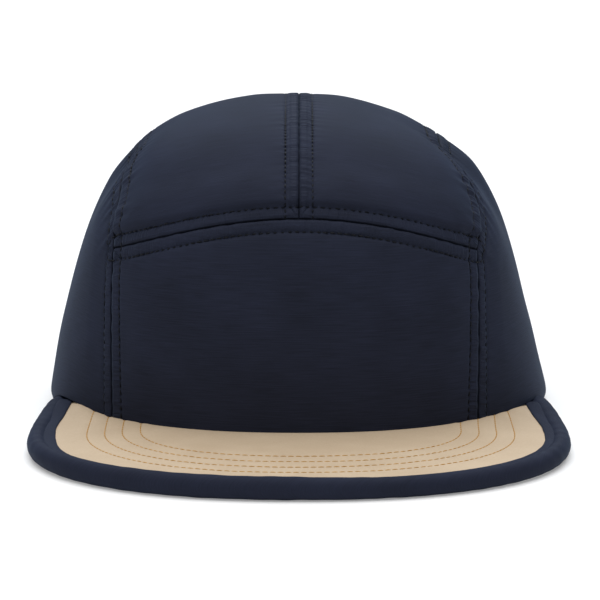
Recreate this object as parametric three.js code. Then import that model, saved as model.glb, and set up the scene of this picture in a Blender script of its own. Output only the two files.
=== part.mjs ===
// A five panel cap resting on a flat surface: a low front panel, two top panels and two side
// panels sewn into a crown, a flat peak with a padded roll round its edge, a sweatband and a
// webbing strap with a slider across the arch at the back.
// Millimetres, +Z up. The peak points to -Y, and +X is on the right of a person facing the cap.
import * as THREE from 'three';
import { mergeVertices } from 'three/addons/utils/BufferGeometryUtils.js';

// Driving dimensions of the crown
const crownWidth = 171;
const crownFrontReach = 97;
const crownBackReach = 99;
const crownHeight = 105.2;
const frontPanelWidth = crownWidth * 0.7053;
const frontPanelShift = -crownWidth * 0.0076;
const frontCornerHeight = crownHeight * 0.5837;
const frontArcRise = crownHeight * 0.1369;
const archWidth = crownWidth * 0.4795;
const archHeight = crownHeight * 0.4183;
const archSeamShare = 0.73;

// Driving dimensions of the peak, with its widest place that far in front of the crown's middle
const peakWidth = 177;
const peakReach = 163.6;
const peakWidestReach = 86;
const peakEndReach = 23;
const peakEndTuck = 5.5;
const peakSquareness = 2.22;
const peakRise = 1.6;
const peakRiseReach = 30;
const rollDiameter = 6.8;
const rollEndDiameter = 3.8;
const coverSeatShare = 0.79;
const boardSeatShare = 0.18;
const lipWidth = 2;

// Cloth and webbing
const frontWall = 2;
const panelWall = 1.5;
const coverWall = 1.2;
const lipWall = 0.6;
const bandWall = 1.2;
const bandFoot = 0.6;
const bandTop = 33;
const strapWall = 1.2;
const strapWidth = 20;
const strapBottom = 6;
const strapOverlap = 12;

// The slider, seen from behind: three upright bars between two rails
const sliderBar = 3;
const sliderSlot = 6;
const sliderRail = 3;
const sliderWall = 2;

// Clearances between pieces that are sewn together or pass through each other
const seamGap = 0.36;
const seatGap = 0.3;
const bandGap = 0.8;
const strapPlay = 0.9;

// The crown's level sections, from the rim to the top. along is the way up the cloth, rise is a
// share of the crown's height, and left, right, front and back are shares of the crown's reach
// each way. square is the exponent of the section's superellipse. The rim curls in at the hem.
const crownSections = [
  { along: 0.0, rise: 0.0, left: 0.965, right: 0.962, front: 0.98, back: 0.97, square: 2.1 },
  { along: 0.018, rise: 0.019, left: 0.988, right: 0.985, front: 0.994, back: 0.99, square: 2.11 },
  { along: 0.045, rise: 0.047, left: 1.0, right: 0.997, front: 1.0, back: 1.0, square: 2.12 },
  { along: 0.16, rise: 0.17, left: 0.974, right: 0.958, front: 0.987, back: 0.99, square: 2.18 },
  { along: 0.32, rise: 0.35, left: 0.922, right: 0.898, front: 0.962, back: 0.965, square: 2.28 },
  { along: 0.47, rise: 0.52, left: 0.866, right: 0.848, front: 0.93, back: 0.925, square: 2.35 },
  { along: 0.6, rise: 0.665, left: 0.803, right: 0.79, front: 0.884, back: 0.865, square: 2.32 },
  { along: 0.71, rise: 0.79, left: 0.709, right: 0.69, front: 0.79, back: 0.77, square: 2.22 },
  { along: 0.8, rise: 0.88, left: 0.59, right: 0.535, front: 0.66, back: 0.64, square: 2.12 },
  { along: 0.88, rise: 0.945, left: 0.405, right: 0.335, front: 0.48, back: 0.465, square: 2.05 },
  { along: 0.95, rise: 0.985, left: 0.185, right: 0.145, front: 0.225, back: 0.22, square: 2.0 },
  { along: 1.0, rise: 1.0, left: 0.0, right: 0.0, front: 0.0, back: 0.0, square: 2.0 },
];

// The seam between a top panel and a side panel, as the share of the crown's height that it has
// at each compass angle. 0 degrees is the ear, -90 the forehead and 90 the back of the head.
const sideSeamHeights = [
  { angle: -34, left: 0.71, right: 0.7 },
  { angle: -20, left: 0.785, right: 0.815 },
  { angle: 0, left: 0.838, right: 0.862 },
  { angle: 33, left: 0.825, right: 0.84 },
  { angle: 55, left: 0.728, right: 0.735 },
  { angle: 67, left: 0.52, right: 0.52 },
];

// Soft dents pressed into the crown just below the side seams. height and depth are shares of
// the crown's height, spread is the share of it over which the dent fades.
const crownDents = [
  { angle: 188, height: 0.755, spread: 0.13, depth: 0.02 },
  { angle: -12, height: 0.765, spread: 0.17, depth: 0.035 },
  { angle: 20, height: 0.66, spread: 0.2, depth: 0.018 },
  { angle: 160, height: 0.62, spread: 0.2, depth: 0.016 },
];

// How high the rim lies over the peak and its roll. reach is a share of the crown's front reach,
// from the forehead back to the ear, and lift is a share of the roll's diameter.
const rimLifts = [
  { reach: -1.02, lift: 1.07 },
  { reach: -0.75, lift: 1.08 },
  { reach: -0.56, lift: 1.08 },
  { reach: -0.45, lift: 1.08 },
  { reach: -0.36, lift: 1.05 },
  { reach: -0.28, lift: 0.88 },
  { reach: -0.2, lift: 0.56 },
  { reach: -0.1, lift: 0.23 },
  { reach: 0.0, lift: 0.1 },
  { reach: 0.2, lift: 0.0 },
];

// The hem's folds above the rim, as shares of the height at which the wall starts to rise.
const hemRows = [0, 0.4, 1];
const hemHeight = crownHeight * 0.047;

// Grid cells along and across each panel, shared by panels that meet at a seam
const frontArcCells = 14;
const frontSideCells = 11;
const sideSeamCells = 24;
const topCrossCells = frontArcCells / 2;
const archCells = topCrossCells;
const peakCells = 44;
const peakCrossCells = 4;
const rollSteps = 50;
const rollOuterCells = 11;
const rollInnerCells = 3;
const bandCells = 56;
const strapCells = 44;

const degrees = Math.PI / 180;

// A smooth curve through one column of a table.
function readTable(rows, key, column, at) {
  const last = rows.length - 1;
  const after = rows.findIndex((row) => row[key] > at);
  const i = after < 0 ? last - 1 : Math.max(after - 1, 0);
  const slope = (j) => {
    const before = rows[Math.max(j - 1, 0)];
    const next = rows[Math.min(j + 1, last)];
    return (next[column] - before[column]) / (next[key] - before[key]);
  };
  const span = rows[i + 1][key] - rows[i][key];
  const t = (at - rows[i][key]) / span;
  const t2 = t * t;
  const t3 = t2 * t;
  return (
    (2 * t3 - 3 * t2 + 1) * rows[i][column] +
    (t3 - 2 * t2 + t) * span * slope(i) +
    (3 * t2 - 2 * t3) * rows[i + 1][column] +
    (t3 - t2) * span * slope(i + 1)
  );
}

// The crown's surface

function sectionAt(along, angle) {
  const read = (column) => readTable(crownSections, 'along', column, along);
  const across = Math.cos(angle) < 0 ? read('left') : read('right');
  const ahead =
    Math.sin(angle) < 0 ? read('front') * crownFrontReach : read('back') * crownBackReach;
  return { across: (across * crownWidth) / 2, ahead, square: read('square') };
}

function alongAtHeight(height) {
  let low = 0;
  let high = 1;
  for (let i = 0; i < 40; i++) {
    const middle = (low + high) / 2;
    if (readTable(crownSections, 'along', 'rise', middle) * crownHeight < height) low = middle;
    else high = middle;
  }
  return low;
}

function dentDepth(angle, height) {
  return crownDents.reduce((sum, dent) => {
    const turn = Math.atan2(
      Math.sin(angle - dent.angle * degrees),
      Math.cos(angle - dent.angle * degrees),
    );
    const away = Math.hypot((turn * crownWidth) / 2 / crownHeight, height - dent.height);
    return sum + dent.depth * crownHeight * Math.exp(-((away / dent.spread) ** 2));
  }, 0);
}

// The crown is laid out flat on a unit disc, as a map of it from above: the rim is the edge, the
// top is the middle, and the compass angle stays the same.
function crownPoint(spot) {
  const along = 1 - spot.length();
  const angle = Math.atan2(spot.y, spot.x);
  const { across, ahead, square } = sectionAt(along, angle);
  const rise = readTable(crownSections, 'along', 'rise', along);
  if (across < 1e-6 || ahead < 1e-6) return new THREE.Vector3(0, 0, crownHeight);
  const radius =
    ((Math.abs(Math.cos(angle)) / across) ** square +
      (Math.abs(Math.sin(angle)) / ahead) ** square) **
    (-1 / square);
  const dented = radius - dentDepth(angle, rise) * Math.min(1, radius / (crownWidth / 4));
  return new THREE.Vector3(
    dented * Math.cos(angle),
    dented * Math.sin(angle),
    rise * crownHeight,
  );
}

function crownNormal(spot) {
  const step = 2e-3;
  const at = (dx, dy) => crownPoint(new THREE.Vector2(spot.x + dx, spot.y + dy));
  const overX = at(step, 0).sub(at(-step, 0));
  const overY = at(0, step).sub(at(0, -step));
  return overX.cross(overY).normalize();
}

function insideCrown(spot, depth) {
  return crownPoint(spot).addScaledVector(crownNormal(spot), -depth);
}

function spotAt(angle, height) {
  const reach = 1 - alongAtHeight(height);
  return new THREE.Vector2(reach * Math.cos(angle), reach * Math.sin(angle));
}

// The spot that a person in front of the cap, or behind it, sees at x and height.
function spotSeen(x, height, facing) {
  const along = alongAtHeight(height);
  const { across, ahead, square } = sectionAt(along, Math.atan2(facing, Math.sign(x) || 1));
  const share = Math.min(Math.abs(x) / across, 1);
  const y = facing * ahead * (1 - share ** square) ** (1 / square);
  const angle = Math.atan2(y, x);
  return new THREE.Vector2((1 - along) * Math.cos(angle), (1 - along) * Math.sin(angle));
}

// The seam lines and edges, each a function from 0 to 1 to a spot on the disc

function rimHeight(angle) {
  const { across, ahead, square } = sectionAt(crownSections[1].along, angle);
  const radius =
    ((Math.abs(Math.cos(angle)) / across) ** square +
      (Math.abs(Math.sin(angle)) / ahead) ** square) **
    (-1 / square);
  const reach = (radius * Math.sin(angle)) / crownFrontReach;
  const first = rimLifts[0].reach;
  const last = rimLifts[rimLifts.length - 1];
  if (reach >= last.reach) return 0;
  return Math.max(0, readTable(rimLifts, 'reach', 'lift', Math.max(reach, first)) * rollDiameter);
}

function rimSpot(angle) {
  return spotAt(angle, rimHeight(angle));
}

function angleOf(spot) {
  return Math.atan2(spot.y, spot.x);
}

function line(from, to) {
  return (t) => from.clone().lerp(to, t);
}

function smooth(spots) {
  const curve = new THREE.SplineCurve(spots);
  return (t) => curve.getPointAt(t);
}

const frontHalf = frontPanelWidth / 2;

function frontArcSpot(share) {
  const height = frontCornerHeight + frontArcRise * (1 - share ** 2);
  return spotSeen(frontPanelShift * share ** 2 + frontHalf * share, height, -1);
}

function cornerSpot(side) {
  return frontArcSpot(side);
}

function frontRimAngle(side) {
  return angleOf(spotSeen(frontPanelShift + side * frontHalf, rollDiameter, -1));
}

function frontSeam(side) {
  return smooth([
    rimSpot(frontRimAngle(side)),
    spotSeen(frontPanelShift + side * frontHalf * 1.008, frontCornerHeight * 0.55, -1),
    cornerSpot(side),
  ]);
}

function archSpot(share) {
  return spotSeen((share * archWidth) / 2, archHeight * Math.sqrt(1 - share ** 2), 1);
}

function sideSeam(side) {
  const column = side < 0 ? 'left' : 'right';
  const middle = sideSeamHeights.map((row) => {
    const angle = side < 0 ? 180 - row.angle : row.angle;
    return spotAt(angle * degrees, row[column] * crownHeight);
  });
  return smooth([cornerSpot(side), ...middle, archSpot(side * archSeamShare)]);
}

// Solids from grids of points

// A closed wall between an outer and an inner grid of points with the same rows and columns.
function wallGeometry(outer, inner) {
  const rows = outer.length;
  const columns = outer[0].length;
  const count = rows * columns;
  const positions = [...outer.flat(), ...inner.flat()].flatMap((p) => [p.x, p.y, p.z]);
  const index = [];
  const quad = (a, b, c, d) => index.push(a, b, c, a, c, d);
  const at = (row, column) => row * columns + column;
  for (let r = 0; r + 1 < rows; r++) {
    for (let c = 0; c + 1 < columns; c++) {
      const corners = [at(r, c), at(r, c + 1), at(r + 1, c + 1), at(r + 1, c)];
      quad(...corners);
      quad(...corners.map((i) => i + count).reverse());
    }
  }
  const edge = [];
  for (let c = 0; c < columns; c++) edge.push(at(0, c));
  for (let r = 1; r < rows; r++) edge.push(at(r, columns - 1));
  for (let c = columns - 2; c >= 0; c--) edge.push(at(rows - 1, c));
  for (let r = rows - 2; r > 0; r--) edge.push(at(r, 0));
  edge.forEach((a, i) => {
    const b = edge[(i + 1) % edge.length];
    quad(b, a, a + count, b + count);
  });
  return facingOut(positions, index);
}

// A closed body swept through outlines of the same number of points, with flat ends.
function sweptGeometry(outlines, flatOutline) {
  const count = outlines[0].length;
  const positions = outlines.flat().flatMap((p) => [p.x, p.y, p.z]);
  const index = [];
  for (let s = 0; s + 1 < outlines.length; s++) {
    for (let i = 0; i < count; i++) {
      const j = (i + 1) % count;
      const [a, b] = [s * count + i, s * count + j];
      index.push(a, b, b + count, a, b + count, a + count);
    }
  }
  const lastStart = (outlines.length - 1) * count;
  for (const [a, b, c] of THREE.ShapeUtils.triangulateShape(flatOutline, [])) {
    const turned = THREE.ShapeUtils.isClockWise(flatOutline) ? [a, c, b] : [a, b, c];
    index.push(turned[0], turned[2], turned[1]);
    index.push(...turned.map((i) => i + lastStart));
  }
  return facingOut(positions, index);
}

// Turns every face round if the closed body was wound inwards.
function facingOut(positions, index) {
  const corner = (i) => new THREE.Vector3().fromArray(positions, 3 * index[i]);
  let volume = 0;
  for (let i = 0; i < index.length; i += 3) {
    volume += corner(i).dot(corner(i + 1).cross(corner(i + 2)));
  }
  if (volume < 0) index.reverse();
  const geometry = new THREE.BufferGeometry();
  geometry.setAttribute('position', new THREE.Float32BufferAttribute(positions, 3));
  geometry.setIndex(index);
  return mergeVertices(geometry, 1e-4);
}

// The five panels

// How far up a hemmed panel a row lies: the first rows follow the fold, the rest are even.
function hemShare(row, rows, high) {
  const fold = hemRows.length - 1;
  if (row <= fold) return (hemRows[row] * hemHeight) / high;
  const even = (row - fold) / (rows - fold);
  return THREE.MathUtils.lerp(hemHeight / high, 1, even);
}

// A panel is the piece of the disc inside four lines: bottom and top run the same way, and so
// do start and end. It is drawn in from each seam by half the gap that neighbours keep.
function panelGeometry({ bottom, top, start, end, along, up, wall, hemmed, drawnIn }) {
  const corner = (s, t) => (t < 0.5 ? bottom(s) : top(s));
  const patch = (s, t) =>
    bottom(s)
      .multiplyScalar(1 - t)
      .addScaledVector(top(s), t)
      .addScaledVector(start(t), 1 - s)
      .addScaledVector(end(t), s)
      .addScaledVector(corner(0, 0), -(1 - s) * (1 - t))
      .addScaledVector(corner(1, 0), -s * (1 - t))
      .addScaledVector(corner(0, 1), -(1 - s) * t)
      .addScaledVector(corner(1, 1), -s * t);
  const length = (from, to) => crownPoint(from).distanceTo(crownPoint(to));
  const outer = [];
  const inner = [];
  for (let r = 0; r <= up; r++) {
    outer.push([]);
    inner.push([]);
    for (let c = 0; c <= along; c++) {
      const high = length(bottom(c / along), top(c / along));
      const wide = length(start(r / up), end(r / up));
      const inset = (share, size, low, far) => {
        const step = seamGap / 2 / size;
        return THREE.MathUtils.clamp(share, low ? step : 0, far ? 1 - step : 1);
      };
      const t = inset(hemmed ? hemShare(r, up, high) : r / up, high, drawnIn.bottom, drawnIn.top);
      const s = inset(c / along, wide, drawnIn.start, drawnIn.end);
      const spot = patch(s, t);
      const point = crownPoint(spot);
      const inward = crownNormal(spot);
      if (hemmed && r === 0) inward.setZ(0).normalize();
      outer[r].push(point);
      inner[r].push(point.clone().addScaledVector(inward, -wall));
    }
  }
  return wallGeometry(outer, inner);
}

function frontPanelGeometry() {
  const [left, right] = [frontRimAngle(-1), frontRimAngle(1)];
  return panelGeometry({
    bottom: (s) => rimSpot(left + (right - left) * s),
    top: (s) => frontArcSpot(2 * s - 1),
    start: frontSeam(-1),
    end: frontSeam(1),
    along: frontArcCells,
    up: frontSideCells,
    wall: frontWall,
    hemmed: true,
    drawnIn: { bottom: false, top: true, start: true, end: true },
  });
}

function topPanelGeometry(side) {
  return panelGeometry({
    bottom: line(frontArcSpot(0), archSpot(0)),
    top: sideSeam(side),
    start: (t) => frontArcSpot(side * t),
    end: (t) => archSpot(side * archSeamShare * t),
    along: sideSeamCells,
    up: topCrossCells,
    wall: panelWall,
    hemmed: false,
    drawnIn: { bottom: true, top: true, start: true, end: false },
  });
}

function sidePanelGeometry(side) {
  const front = frontRimAngle(side);
  const back = angleOf(archSpot(side));
  const turn = side < 0 ? back - front - 2 * Math.PI : back - front;
  return panelGeometry({
    bottom: (s) => rimSpot(front + turn * s),
    top: sideSeam(side),
    start: frontSeam(side),
    end: (t) => archSpot(side * (1 + (archSeamShare - 1) * t)),
    along: sideSeamCells,
    up: frontSideCells,
    wall: panelWall,
    hemmed: true,
    drawnIn: { bottom: false, top: true, start: true, end: false },
  });
}

// The peak

// Half of the peak's outline in plan, from the middle of the front edge to the end of the roll.
function halfOutline(t) {
  const frontShare = 0.62;
  const half = peakWidth / 2;
  const depth = peakReach - peakWidestReach;
  if (t < frontShare) {
    const angle = (Math.PI / 2) * (1 - t / frontShare);
    return new THREE.Vector2(
      half * Math.cos(angle) ** (2 / peakSquareness),
      -peakWidestReach - depth * Math.sin(angle) ** (2 / peakSquareness),
    );
  }
  const back = (t - frontShare) / (1 - frontShare);
  return new THREE.Vector2(
    half - peakEndTuck * back ** 2,
    -peakWidestReach + (peakWidestReach - peakEndReach) * back,
  );
}

// The whole outline from the left end to the right end, evenly spaced.
const outlineHalfSteps = 60;
const outlineCurve = new THREE.CatmullRomCurve3(
  Array.from({ length: outlineHalfSteps * 2 + 1 }, (_, i) => {
    const share = i / outlineHalfSteps - 1;
    const p = halfOutline(Math.abs(share));
    return new THREE.Vector3(Math.sign(share) * p.x, p.y, 0);
  }),
);
outlineCurve.arcLengthDivisions = 600;

function peakPlan(t, inset) {
  const point = outlineCurve.getPointAt(t);
  const tangent = outlineCurve.getTangentAt(t);
  return new THREE.Vector3(point.x - tangent.y * inset, point.y + tangent.x * inset, 0);
}

// The roll's radius, full in front and pressed narrow where its ends tuck under the rim.
function rollRadius(t) {
  const reach = -outlineCurve.getPointAt(t).y;
  const share = THREE.MathUtils.smoothstep(reach, peakEndReach * 0.9, peakEndReach * 1.65);
  return THREE.MathUtils.lerp(rollEndDiameter, rollDiameter, share) / 2;
}

// The peak swells gently from the roll towards the crown. away is the distance from the roll.
function peakHeight(seat, t, away) {
  const swell = 1 - Math.exp(-((away / peakRiseReach) ** 2));
  return seat * 2 * rollRadius(t) + peakRise * swell;
}

// The line under the crown's wall where the peak's plates end.
function peakRoot(angle) {
  const spot = spotAt(angle, rollDiameter);
  return insideCrown(spot, frontWall).setZ(0);
}

// The share of the outline, from its left end, where the board's edge reaches the root.
function plateStart() {
  const gapAt = (t) => {
    const edge = peakPlan(t, 2 * rollRadius(t) + seatGap);
    const root = peakRoot(Math.atan2(edge.y, edge.x));
    return edge.length() - root.length();
  };
  let low = 0;
  let high = 0.3;
  for (let i = 0; i < 30; i++) {
    const middle = (low + high) / 2;
    if (gapAt(middle) < coverWall) low = middle;
    else high = middle;
  }
  return high;
}

const plateFrom = plateStart();

// A plate of the peak between two heights, each a function of the place and the distance inwards.
function plateGeometry(topOf, bottomOf) {
  const ends = [plateFrom, 1 - plateFrom].map((t) =>
    peakPlan(t, 2 * rollRadius(t) + seatGap),
  );
  const [from, to] = ends.map((p) => Math.atan2(p.y, p.x));
  const turn = to - from;
  const upper = [];
  const lower = [];
  for (let r = 0; r <= peakCrossCells; r++) {
    upper.push([]);
    lower.push([]);
    for (let c = 0; c <= peakCells; c++) {
      const share = c / peakCells;
      const t = plateFrom + (1 - 2 * plateFrom) * share;
      const edge = peakPlan(t, 2 * rollRadius(t) + seatGap);
      const plan = peakRoot(from + turn * share).lerp(edge, r / peakCrossCells);
      const away = plan.distanceTo(edge);
      upper[r].push(plan.clone().setZ(topOf(t, away)));
      lower[r].push(plan.clone().setZ(bottomOf(t, away)));
    }
  }
  return wallGeometry(upper, lower);
}

function peakCoverGeometry() {
  const top = (t, away) => peakHeight(coverSeatShare, t, away);
  return plateGeometry(top, (t, away) => top(t, away) - coverWall);
}

function peakBoardGeometry() {
  return plateGeometry(
    (t, away) => peakHeight(coverSeatShare, t, away) - coverWall - seatGap,
    (t, away) => peakHeight(boardSeatShare, t, away),
  );
}

// The roll's section at one place: a round body with a lip over the cover and one under the
// board. x runs inwards from the outline and y is the height.
function rollOutline(t) {
  const radius = rollRadius(t);
  const wall = (lipWall * 2 * radius) / rollDiameter;
  const lips = {
    overTop: coverSeatShare * 2 * radius + seatGap + wall,
    overFoot: coverSeatShare * 2 * radius + seatGap,
    underTop: boardSeatShare * 2 * radius - seatGap,
    underFoot: boardSeatShare * 2 * radius - seatGap - wall,
  };
  const end = 2 * radius + seatGap + lipWidth;
  const angleAt = (height) => Math.asin(THREE.MathUtils.clamp(height / radius - 1, -0.98, 0.98));
  const arc = (from, to, cells) =>
    Array.from({ length: cells + 1 }, (_, i) => {
      const angle = from + ((to - from) * i) / cells;
      return new THREE.Vector2(
        radius * (1 + Math.cos(angle)),
        radius * (1 + Math.sin(angle)),
      );
    });
  return [
    new THREE.Vector2(end, lips.overFoot),
    new THREE.Vector2(end, lips.overTop),
    ...arc(angleAt(lips.overTop), 2 * Math.PI + angleAt(lips.underFoot), rollOuterCells),
    new THREE.Vector2(end, lips.underFoot),
    new THREE.Vector2(end, lips.underTop),
    ...arc(angleAt(lips.underTop), angleAt(lips.overFoot), rollInnerCells),
  ];
}

function peakRollGeometry() {
  const outlines = Array.from({ length: rollSteps + 1 }, (_, i) => {
    const t = i / rollSteps;
    return rollOutline(t).map((p) => peakPlan(t, p.x).setZ(p.y));
  });
  return sweptGeometry(outlines, rollOutline(0));
}

// The sweatband, the strap and its slider

// How far inside the crown's outer face the band and the strap lie.
const bandDepth = Math.max(frontWall, panelWall) + bandGap;

function backAngle(x, height) {
  return angleOf(spotSeen(x, height, 1));
}

function bandGeometry() {
  const start = backAngle(archWidth / 2 + strapOverlap + strapPlay, bandTop);
  const end = backAngle(-(archWidth / 2 + strapOverlap + strapPlay), bandTop);
  const turn = end - start - 2 * Math.PI;
  const folds = hemRows.map((share) => Math.max(share * hemHeight, bandFoot));
  const rows = [...folds, bandTop / 2, bandTop];
  const faces = [bandDepth, bandDepth + bandWall].map((depth) =>
    rows.map((height, row) =>
      Array.from({ length: bandCells + 1 }, (_, i) => {
        const angle = start + (turn * i) / bandCells;
        const lift = rimHeight(angle) * (1 - height / bandTop);
        const spot = spotAt(angle, height + lift);
        const inward = crownNormal(spot);
        if (row === 0) inward.setZ(0).normalize();
        return crownPoint(spot).addScaledVector(inward, -depth);
      }),
    ),
  );
  return wallGeometry(...faces);
}

const strapMiddle = strapBottom + strapWidth / 2;

// The place of the strap's outer face. Its edges lean in with the wall of the crown.
function strapFace(x, height) {
  return insideCrown(spotSeen(x, height, 1), bandDepth);
}

const sliderSeat = strapFace(0, strapMiddle);
const strapLean = Math.atan2(
  strapFace(0, strapBottom).y - strapFace(0, strapBottom + strapWidth).y,
  strapWidth,
);

// The strap runs inside the slider's outer bars and over its middle bar.
function strapGeometry() {
  const half = archWidth / 2 + strapOverlap;
  const over = sliderWall + strapWall + 2 * seatGap + strapPlay;
  const ease = sliderBar / 2 + sliderSlot / 2;
  const face = (x, height, depth) => {
    const lift = over * Math.exp(-((Math.abs(x) / ease) ** 4));
    const point = strapFace(x, height);
    const outward = crownNormal(spotSeen(x, height, 1));
    return point.addScaledVector(outward, lift - depth);
  };
  const xs = Array.from({ length: strapCells + 1 }, (_, i) => {
    const share = (2 * i) / strapCells - 1;
    return half * (0.55 * share + 0.45 * share ** 3);
  });
  const faces = [0, strapWall].map((depth) =>
    [strapBottom, strapMiddle, strapBottom + strapWidth].map((height) =>
      xs.map((x) => face(x, height, depth)),
    ),
  );
  return wallGeometry(...faces);
}

function sliderGeometry() {
  const width = 3 * sliderBar + 2 * sliderSlot;
  const inside = strapWidth + 2 * strapPlay;
  const height = inside + 2 * sliderRail;
  const rounded = (path, x, w, h, corner) => {
    const [right, top] = [x + w / 2 - corner, h / 2 - corner];
    const left = x - w / 2 + corner;
    path.absarc(right, top, corner, 0, Math.PI / 2);
    path.absarc(left, top, corner, Math.PI / 2, Math.PI);
    path.absarc(left, -top, corner, Math.PI, 1.5 * Math.PI);
    path.absarc(right, -top, corner, 1.5 * Math.PI, 2 * Math.PI);
    path.closePath();
    return path;
  };
  const frame = rounded(new THREE.Shape(), 0, width, height, sliderBar * 0.6);
  for (const side of [-1, 1]) {
    const middle = (side * (sliderBar + sliderSlot)) / 2;
    frame.holes.push(rounded(new THREE.Path(), middle, sliderSlot, inside, sliderBar * 0.3));
  }
  const shape = { depth: sliderWall, bevelEnabled: false, curveSegments: 3 };
  return new THREE.ExtrudeGeometry(frame, shape);
}

// The materials
const navyCloth = new THREE.MeshStandardMaterial({ color: 0x232a3a, roughness: 0.72 });
const tanCover = new THREE.MeshStandardMaterial({ color: 0xc2ae95, roughness: 0.8 });
const blackWebbing = new THREE.MeshStandardMaterial({ color: 0x1c1f27, roughness: 0.85 });
const blackPlastic = new THREE.MeshStandardMaterial({ color: 0x17181b, roughness: 0.45 });

function piece(name, geometry, material) {
  const mesh = new THREE.Mesh(geometry, material);
  mesh.name = name;
  return mesh;
}

const crown = new THREE.Group();
crown.add(piece('front_panel', frontPanelGeometry(), navyCloth));
for (const [side, label] of [[-1, 'left'], [1, 'right']]) {
  crown.add(piece(`top_panel_${label}`, topPanelGeometry(side), navyCloth));
  crown.add(piece(`side_panel_${label}`, sidePanelGeometry(side), navyCloth));
}
crown.add(piece('sweatband', bandGeometry(), navyCloth));

const peak = new THREE.Group();
peak.add(piece('peak_cover', peakCoverGeometry(), tanCover));
peak.add(piece('peak_board', peakBoardGeometry(), navyCloth));
peak.add(piece('peak_roll', peakRollGeometry(), navyCloth));

const closure = new THREE.Group();
closure.add(piece('back_strap', strapGeometry(), blackWebbing));
const slider = piece('strap_slider', sliderGeometry(), blackPlastic);
slider.rotation.x = Math.PI / 2 + strapLean;
slider.position.copy(sliderSeat);
slider.position.y += seatGap + sliderWall + 0.4;
closure.add(slider);

const cap = new THREE.Group();
cap.add(crown, peak, closure);

// The origin is on the surface that the cap rests on, under the middle of its outline.
const outline = new THREE.Box3().setFromObject(cap);
cap.position.set(
  -(outline.min.x + outline.max.x) / 2,
  -(outline.min.y + outline.max.y) / 2,
  -outline.min.z,
);

export default cap;
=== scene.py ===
import math

import bpy
import numpy as np
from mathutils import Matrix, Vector
from mathutils.bvhtree import BVHTree
from mathutils.kdtree import KDTree


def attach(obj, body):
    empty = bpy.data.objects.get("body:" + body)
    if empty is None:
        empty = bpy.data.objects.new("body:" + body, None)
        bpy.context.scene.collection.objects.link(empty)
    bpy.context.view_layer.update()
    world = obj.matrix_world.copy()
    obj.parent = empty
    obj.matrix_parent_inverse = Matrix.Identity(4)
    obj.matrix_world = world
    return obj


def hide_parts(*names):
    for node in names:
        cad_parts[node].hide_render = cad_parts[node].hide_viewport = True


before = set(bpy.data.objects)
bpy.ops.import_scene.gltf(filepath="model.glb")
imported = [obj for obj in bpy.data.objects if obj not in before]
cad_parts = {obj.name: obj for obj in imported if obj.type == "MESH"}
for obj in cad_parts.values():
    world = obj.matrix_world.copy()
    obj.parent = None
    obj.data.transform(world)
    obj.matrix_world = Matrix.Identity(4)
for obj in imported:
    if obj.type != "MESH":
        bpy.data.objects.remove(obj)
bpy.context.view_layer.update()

mm = 0.001


# Crown panels
# Five cut pieces of matt nylon taffeta, sewn edge to edge with their allowances turned under
# and topstitched down on both sides of each seam. The front panel is fused to a stiff lining.

CROWN_MIDDLE = Vector((0, 31, 30)) * mm
TAFFETA_WALL = 1.2 * mm
FRONT_WALL = 1.7 * mm
SEAM_OVERLAP = 0.4 * mm        # how far an edge runs on below its seam, past the solid
STITCH_REACH = 4.3 * mm        # from a seam to its topstitch
STITCH_PITCH = 2.5 * mm
FLOOR_CLEARANCE = 0.03 * mm    # cloth that would dip below the floor is laid flat this high

# How some seams differ from a plain one, as shares of it. The last is the cloth's height where
# it stands up in a swell just inside the seam.
PULLED_IN = 1.7                # how deep the groove of the topstitch is
TIGHT_FOLD = 0.6               # how wide the folded edge is
PUCKERED = 2.6
PLAIN_GATHERS = 0.7            # the small gathers between the seam and its stitches
STRONG_GATHERS = 2.2
BLOWN_UP = 1.1 * mm

# Grid lines close to an edge, where the cloth folds and puckers, as distances from that edge.
EDGE_STEPS = np.array(
    [0, 0.15, 0.32, 0.5, 0.75, 1.1, 1.6, 2.2, 2.8, 3.35, 3.75, 4.05, 4.3, 4.55, 4.9, 5.4, 6.1, 7]
) * mm

# How each kind of panel is cut: its sewn edges, its grid cells along and up between the edge
# lines, its wall, and the edge of each kind named above. A crosswise panel's rows run from the
# front to the back, and its level yarns run across them.
TOP_CUT = {
    "seams": ("start", "bottom", "top"), "cells": (340, 56), "wall": TAFFETA_WALL,
    "crosswise": True, "pulled_in": "start", "blown_up": "start", "tight": "bottom",
    "puckered": "top",
}
SIDE_CUT = {
    "seams": ("start", "top"), "cells": (230, 60), "wall": TAFFETA_WALL, "puckered": "top",
}
FRONT_CUT = {
    "seams": ("start", "end", "top"), "cells": (150, 70), "wall": FRONT_WALL, "pulled_in": "top",
}

# The corners that say how each solid's grid runs, in millimetres: the bottom row runs from
# start to along, and the rows climb from start to up.
PANELS = {
    "front_panel": {
        **FRONT_CUT,
        "start": (-61.5, -38.8, 7.3), "along": (58.8, -41.3, 7.3), "up": (-61.4, -22.6, 61.3),
    },
    "top_panel_left": {
        **TOP_CUT,
        "start": (-0.2, -51, 75.9), "along": (-0.2, 125.5, 44), "up": (-61.4, -22.4, 61.6),
    },
    "top_panel_right": {
        **TOP_CUT, "gathers": STRONG_GATHERS,
        "start": (0.2, -51, 75.9), "along": (0.2, 125.5, 44), "up": (58.9, -25.2, 61.6),
    },
    "side_panel_left": {
        **SIDE_CUT,
        "start": (-61.7, -38.4, 7.3), "along": (-41, 116.1, 0), "up": (-61.6, -22.2, 61.4),
    },
    "side_panel_right": {
        **SIDE_CUT,
        "start": (59.1, -41, 7.3), "along": (41, 116, 0), "up": (59, -25, 61.4),
    },
}


def pick_only(piece):
    """Makes one object the only selected one, and the active one."""
    bpy.ops.object.select_all(action="DESELECT")
    piece.select_set(True)
    bpy.context.view_layer.objects.active = piece


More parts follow.
